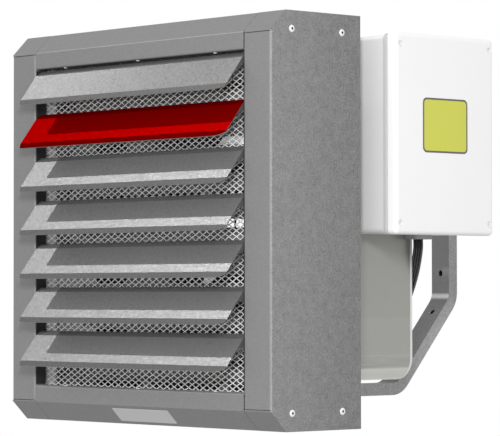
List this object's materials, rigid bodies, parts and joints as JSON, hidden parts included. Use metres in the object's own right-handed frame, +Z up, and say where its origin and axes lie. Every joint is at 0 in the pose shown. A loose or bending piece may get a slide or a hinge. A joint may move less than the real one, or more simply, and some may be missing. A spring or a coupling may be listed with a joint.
{
  "type": "industrial fan heater",
  "caption": "Wall-hung electric fan heater: square folded-sheet casing with hand-set louvres, rear fan housing, side control box and a swivel bracket.",
  "frame": {"origin": "centre of the bracket's wall face, midway between the two wall bolt holes", "axes": "+X to the heater's right as seen from the front, +Y into the wall, +Z up; the louvres face -Y"},
  "size_m": [0.5783, 0.6283, 0.536],
  "materials": {
    "casing_steel": "fine-grained grey powder coat, matte",
    "housing_steel": "light warm grey coat, satin",
    "louvre_steel": "bright smooth steel, glossy",
    "red_louvre": "clear red lacquer over bright steel, glossy",
    "zinc": "zinc-plated, satin",
    "mesh_steel": "galvanised wire, satin",
    "element_steel": "heat-resisting steel, satin",
    "brass": "plain",
    "bracket_paint": "grey powder coat, matte",
    "box_plastic": "light grey moulded, satin",
    "black_rubber": "matte",
    "black_plastic": "matte",
    "cream_plastic": "matte",
    "motor_black": "black paint, satin",
    "lead_sheath": "black insulation, satin",
    "black_steel": "black oxide, satin"
  },
  "bodies": {
    "bracket": {"wall_bracket": "bracket_paint"},
    "heater": {"pivot_bolts": "zinc", "pivot_spacers": "black_plastic", "pivot_nuts": "zinc", "side_panel_left": "casing_steel", "side_panel_right": "casing_steel", "top_panel": "casing_steel", "bottom_panel": "casing_steel", "rear_frame": "casing_steel", "panel_rivets": "zinc", "mesh_front_wires": "mesh_steel", "mesh_rear_wires": "mesh_steel", "mesh_clips": "zinc", "clip_rivets": "zinc", "bearing_strips": "black_plastic", "element_plate_left": "zinc", "element_plate_right": "zinc", "heating_elements": "element_steel", "element_nuts": "brass", "star_bar": "brass", "overheat_thermostat": "black_plastic", "fan_housing": "housing_steel", "housing_screws": "zinc", "inlet_plate": "zinc", "fan_guard": "black_steel", "guard_screws": "zinc", "fan_motor": "motor_black", "motor_screws": "zinc", "shaft_circlip": "black_steel", "control_box_back": "box_plastic", "control_box_sides": "box_plastic", "control_box_ends": "box_plastic", "box_fixings": "zinc", "lid_gasket": "black_rubber", "control_box_lid": "box_plastic", "lid_screws": "zinc", "cable_entry_plate": "black_plastic", "din_rail": "zinc", "contactor": "cream_plastic", "terminal_block": "cream_plastic", "power_leads": "lead_sheath", "lead_grommet": "black_rubber", "power_gland": "black_plastic"},
    "fan": {"rotor_can": "motor_black", "impeller": "black_plastic"},
    "louvre_1": {"louvre_1": "louvre_steel"},
    "louvre_2": {"louvre_2": "red_louvre"},
    "louvre_3": {"louvre_3": "louvre_steel"},
    "louvre_4": {"louvre_4": "louvre_steel"},
    "louvre_5": {"louvre_5": "louvre_steel"},
    "louvre_6": {"louvre_6": "louvre_steel"},
    "louvre_7": {"louvre_7": "louvre_steel"}
  },
  "joints": [
    {"name": "swivel", "type": "hinge", "parent": "bracket", "child": "heater", "pos_m": [0, -0.3645, 0], "axis": [0, 0, 1], "range_deg": [-45, 45]},
    {"name": "fan_spin", "type": "hinge", "parent": "heater", "child": "fan", "pos_m": [0, -0.3175, 0], "axis": [0, 1, 0], "continuous": true},
    {"name": "louvre_1_tilt", "type": "hinge", "parent": "heater", "child": "louvre_1", "pos_m": [0, -0.592, 0.208], "axis": [1, 0, 0], "range_deg": [-35, 34]},
    {"name": "louvre_2_tilt", "type": "hinge", "parent": "heater", "child": "louvre_2", "pos_m": [0, -0.592, 0.148], "axis": [1, 0, 0], "range_deg": [-35, 34]},
    {"name": "louvre_3_tilt", "type": "hinge", "parent": "heater", "child": "louvre_3", "pos_m": [0, -0.592, 0.088], "axis": [1, 0, 0], "range_deg": [-35, 34]},
    {"name": "louvre_4_tilt", "type": "hinge", "parent": "heater", "child": "louvre_4", "pos_m": [0, -0.592, 0.028], "axis": [1, 0, 0], "range_deg": [-35, 34]},
    {"name": "louvre_5_tilt", "type": "hinge", "parent": "heater", "child": "louvre_5", "pos_m": [0, -0.592, -0.032], "axis": [1, 0, 0], "range_deg": [-35, 34]},
    {"name": "louvre_6_tilt", "type": "hinge", "parent": "heater", "child": "louvre_6", "pos_m": [0, -0.592, -0.092], "axis": [1, 0, 0], "range_deg": [-35, 34]},
    {"name": "louvre_7_tilt", "type": "hinge", "parent": "heater", "child": "louvre_7", "pos_m": [0, -0.592, -0.152], "axis": [1, 0, 0], "range_deg": [-35, 34]}
  ]
}
